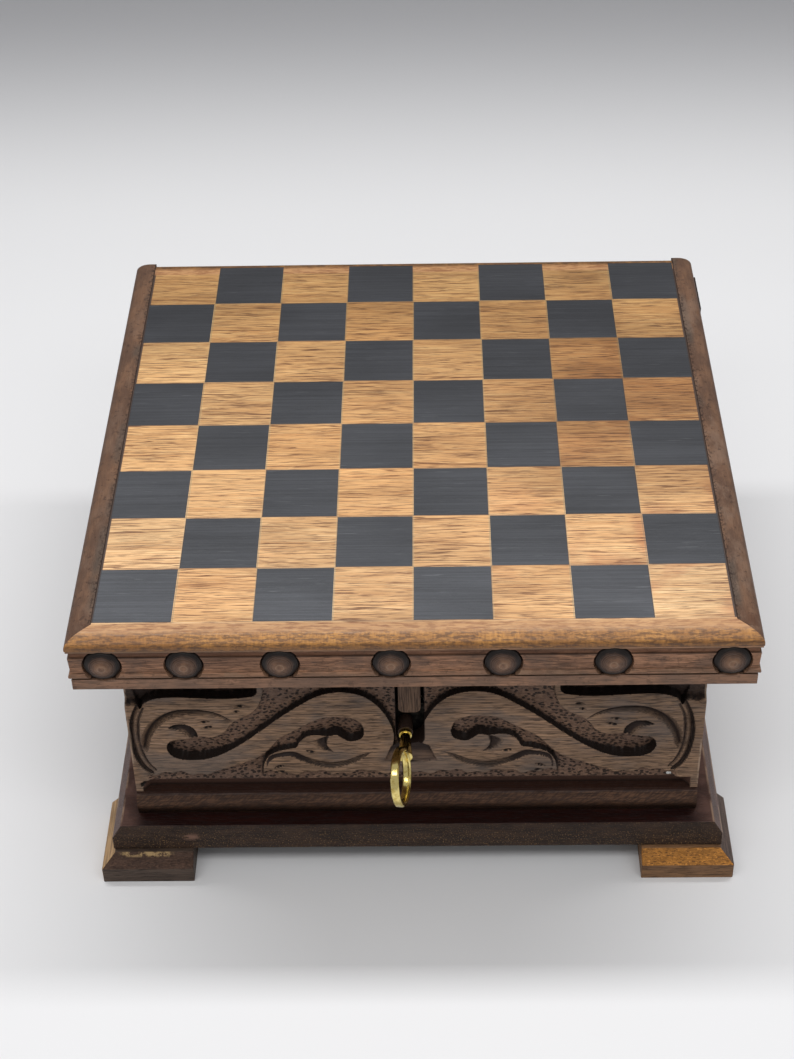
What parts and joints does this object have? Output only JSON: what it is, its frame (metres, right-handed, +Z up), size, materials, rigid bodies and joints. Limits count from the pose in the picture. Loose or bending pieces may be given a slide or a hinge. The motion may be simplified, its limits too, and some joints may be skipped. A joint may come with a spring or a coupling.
{
  "type": "chess box",
  "caption": "Square wooden box with a chequered chessboard lid, carved scroll walls, side drawers, a key lock and sloped block feet.",
  "frame": {"origin": "on the ground, under the middle of the lid", "axes": "+X to the box's right seen from the front, +Y towards the hinge at the rear, +Z up; the lock faces -Y"},
  "size_m": [0.2801, 0.3, 0.1438],
  "materials": {
    "walnut": "satin oiled walnut",
    "dark_walnut": "satin dark walnut",
    "mahogany": "semi-gloss red-brown stain",
    "golden_wood": "semi-gloss golden brown",
    "charcoal_wood": "matte blue-grey stain",
    "pale_wood": "plain unfinished wood",
    "brass": "polished",
    "dark_brass": "dark patina",
    "steel": "plain"
  },
  "bodies": {
    "case": {"base_plate": "mahogany", "front_left_foot": "golden_wood", "front_right_foot": "golden_wood", "rear_left_foot": "golden_wood", "rear_right_foot": "golden_wood", "front_bead": "walnut", "rear_bead": "walnut", "left_bead": "walnut", "right_bead": "walnut", "front_panel": "walnut", "rear_panel": "walnut", "left_side_panel": "walnut", "right_side_panel": "walnut", "compartment_floor": "pale_wood", "drawer_divider": "pale_wood", "front_runner": "pale_wood", "rear_runner": "pale_wood", "rear_rail": "dark_walnut", "lower_hinge_leaf": "brass", "hinge_rod": "steel", "lower_leaf_screws": "brass", "lock_case": "brass", "lock_cover": "brass", "lock_screws": "brass"},
    "lid": {"board_panel": "golden_wood", "dark_squares": "charcoal_wood", "left_edge_strip": "dark_walnut", "right_edge_strip": "dark_walnut", "front_frame": "walnut", "left_frame": "walnut", "right_frame": "walnut", "rear_frame": "walnut", "front_rosettes": "walnut", "left_rosettes": "walnut", "right_rosettes": "walnut", "upper_hinge_leaf": "brass", "upper_leaf_screws": "brass", "lid_tongue": "walnut", "lock_link": "brass", "link_screws": "brass"},
    "plug": {"lock_plug": "dark_brass"},
    "bolt": {"lock_bolt": "steel"},
    "key": {"key": "brass"},
    "left_drawer": {"left_drawer_front": "walnut", "left_drawer_sides": "pale_wood", "left_drawer_back": "pale_wood", "left_drawer_bottom": "pale_wood", "left_drawer_knob": "dark_walnut"},
    "right_drawer": {"right_drawer_front": "walnut", "right_drawer_sides": "pale_wood", "right_drawer_back": "pale_wood", "right_drawer_bottom": "pale_wood", "right_drawer_knob": "dark_walnut"}
  },
  "joints": [
    {"name": "lid_hinge", "type": "hinge", "parent": "case", "child": "lid", "pos_m": [0, 0.141, 0.1334], "axis": [-1, 0, 0], "range_deg": [0, 110]},
    {"name": "key_turn", "type": "hinge", "parent": "case", "child": "plug", "pos_m": [-0.0042, -0.11, 0.0724], "axis": [0, -1, 0], "range_deg": [0, 60]},
    {"name": "bolt_slide", "type": "slide", "parent": "case", "child": "bolt", "axis": [-1, 0, 0], "range_m": [0, 0.0051]},
    {"name": "key_pull", "type": "slide", "parent": "plug", "child": "key", "axis": [0, -1, 0], "range_m": [0, 0.01]},
    {"name": "left_drawer_slide", "type": "slide", "parent": "case", "child": "left_drawer", "axis": [-1, 0, 0], "range_m": [0, 0.085]},
    {"name": "right_drawer_slide", "type": "slide", "parent": "case", "child": "right_drawer", "axis": [1, 0, 0], "range_m": [0, 0.085]}
  ],
  "couplings": [
    {"joint": "bolt_slide", "follows": "key_turn", "m_per_rad": 0.004775}
  ]
}
